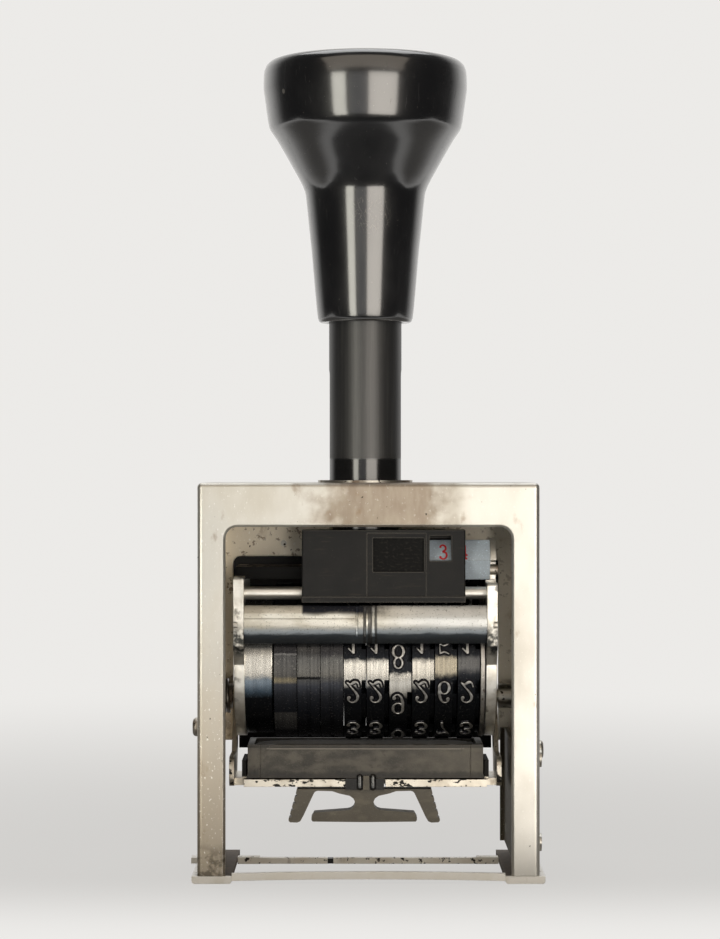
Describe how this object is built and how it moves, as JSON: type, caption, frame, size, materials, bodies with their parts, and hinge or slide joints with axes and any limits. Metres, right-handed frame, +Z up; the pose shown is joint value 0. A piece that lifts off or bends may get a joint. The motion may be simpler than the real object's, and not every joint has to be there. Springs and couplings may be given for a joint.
{
  "type": "numbering machine",
  "caption": "Hand numbering stamp: a knob on a sprung plunger presses number wheels through a metal frame past an ink pad that swings away.",
  "frame": {"origin": "on the ground under the middle of the frame, where the feet stand", "axes": "+Z up along the plunger towards the knob, -Y towards the front with the selector and the pad grip, +X to the right seen from the front"},
  "size_m": [0.0742, 0.0428, 0.1697],
  "materials": {
    "nickel_frame": "worn nickel plate with pits and brown stains",
    "nickel_trim": "pitted nickel plate",
    "worn_steel": "bright steel, rusty in places",
    "olive_plate": "dark olive-brown plate with a worn edge",
    "black_cover": "black paint",
    "spring_steel": "spring steel",
    "black_gloss": "polished black plastic with fine scratches",
    "brass": "turned brass",
    "black_stem": "black, rubbed matte along its travel",
    "cast_carriage": "plated die casting with black pores",
    "scale_grey": "pale blue-grey with red figures",
    "black_matte": "matte black plastic",
    "black_ring": "blackened steel",
    "wheel_steel": "steel with ink in its recesses",
    "worn_plastic": "black plastic with greyish wear",
    "ink_felt": "ink-soaked felt",
    "olive_plastic": "dark olive plastic, scuffed"
  },
  "bodies": {
    "frame_body": {"frame": "nickel_frame", "left_foot_plate": "nickel_trim", "right_foot_plate": "nickel_trim", "foot_screws": "worn_steel", "front_guide_bar": "nickel_trim", "rear_guide_bars": "worn_steel", "rear_cover": "black_cover", "rear_cover_screws": "worn_steel", "pad_guide_plate": "olive_plate", "guide_plate_rivets": "worn_steel", "swing_stop_studs": "worn_steel", "stem_bushing": "worn_steel", "spring_cross_pin": "worn_steel", "pad_pivot_screws": "worn_steel", "pad_pivot_spacers": "worn_steel", "pad_return_spring": "spring_steel"},
    "carriage": {"knob": "black_gloss", "knob_insert": "brass", "plunger_tube": "black_stem", "tube_plug": "worn_steel", "tube_collar": "worn_steel", "return_spring": "spring_steel", "carriage_bridge": "black_cover", "bridge_screws": "worn_steel", "left_cheek": "cast_carriage", "right_cheek": "cast_carriage", "carriage_bar": "cast_carriage", "bar_screws": "worn_steel", "hub_drum": "cast_carriage", "selector_rod": "worn_steel", "wheel_axle": "worn_steel", "axle_end_screws": "worn_steel", "scale_bar": "scale_grey", "scale_bar_pin": "worn_steel", "detent_bar": "spring_steel"},
    "selector": {"selector_slider": "black_matte", "selector_click_ball": "spring_steel", "selector_click_spring": "spring_steel"},
    "pawls": {"pawl_ring": "black_ring", "pawl_plate": "wheel_steel", "pawl_bar": "wheel_steel"},
    "pad_carrier": {"pad_tray": "nickel_trim"},
    "cassette": {"cassette_body": "worn_plastic", "ink_pad": "ink_felt", "cassette_grip": "olive_plastic"},
    "repeat_drum": {"repeat_ring_1": "black_ring", "repeat_ring_2": "black_ring"},
    "wheel_1": {"number_wheel_1": "wheel_steel"},
    "wheel_2": {"number_wheel_2": "wheel_steel"},
    "wheel_3": {"number_wheel_3": "wheel_steel"},
    "wheel_4": {"number_wheel_4": "wheel_steel"},
    "wheel_5": {"number_wheel_5": "wheel_steel"},
    "wheel_6": {"number_wheel_6": "wheel_steel"}
  },
  "joints": [
    {"name": "press", "type": "slide", "parent": "frame_body", "child": "carriage", "axis": [0, 0, -1], "range_m": [0, 0.027], "stiffness_N_per_m": 350, "springref_m": -0.03, "deforming": ["return_spring"]},
    {"name": "pad_swing", "type": "hinge", "parent": "frame_body", "child": "pad_carrier", "pos_m": [0, 0.013, 0.035], "axis": [1, 0, 0], "range_deg": [0, 138]},
    {"name": "cassette_slide", "type": "slide", "parent": "pad_carrier", "child": "cassette", "axis": [0, -1, 0], "range_m": [0, 0.03]},
    {"name": "selector_slide", "type": "slide", "parent": "carriage", "child": "selector", "axis": [1, 0, 0], "range_m": [-0.0082, 0.0041]},
    {"name": "pawl_swing", "type": "hinge", "parent": "carriage", "child": "pawls", "pos_m": [0, 0, 0.0435], "axis": [-1, 0, 0], "range_deg": [0, 36]},
    {"name": "repeat_spin", "type": "hinge", "parent": "carriage", "child": "repeat_drum", "pos_m": [0, 0, 0.0435], "axis": [1, 0, 0], "continuous": true},
    {"name": "wheel_1_spin", "type": "hinge", "parent": "carriage", "child": "wheel_1", "pos_m": [0, 0, 0.0435], "axis": [1, 0, 0], "continuous": true},
    {"name": "wheel_2_spin", "type": "hinge", "parent": "carriage", "child": "wheel_2", "pos_m": [0, 0, 0.0435], "axis": [1, 0, 0], "continuous": true},
    {"name": "wheel_3_spin", "type": "hinge", "parent": "carriage", "child": "wheel_3", "pos_m": [0, 0, 0.0435], "axis": [1, 0, 0], "continuous": true},
    {"name": "wheel_4_spin", "type": "hinge", "parent": "carriage", "child": "wheel_4", "pos_m": [0, 0, 0.0435], "axis": [1, 0, 0], "continuous": true},
    {"name": "wheel_5_spin", "type": "hinge", "parent": "carriage", "child": "wheel_5", "pos_m": [0, 0, 0.0435], "axis": [1, 0, 0], "continuous": true},
    {"name": "wheel_6_spin", "type": "hinge", "parent": "carriage", "child": "wheel_6", "pos_m": [0, 0, 0.0435], "axis": [1, 0, 0], "continuous": true}
  ],
  "couplings": [
    {"joint": "pad_swing", "follows": "press", "rad_per_m": 89.205},
    {"joint": "pawl_swing", "follows": "press", "rad_per_m": 23.271}
  ]
}
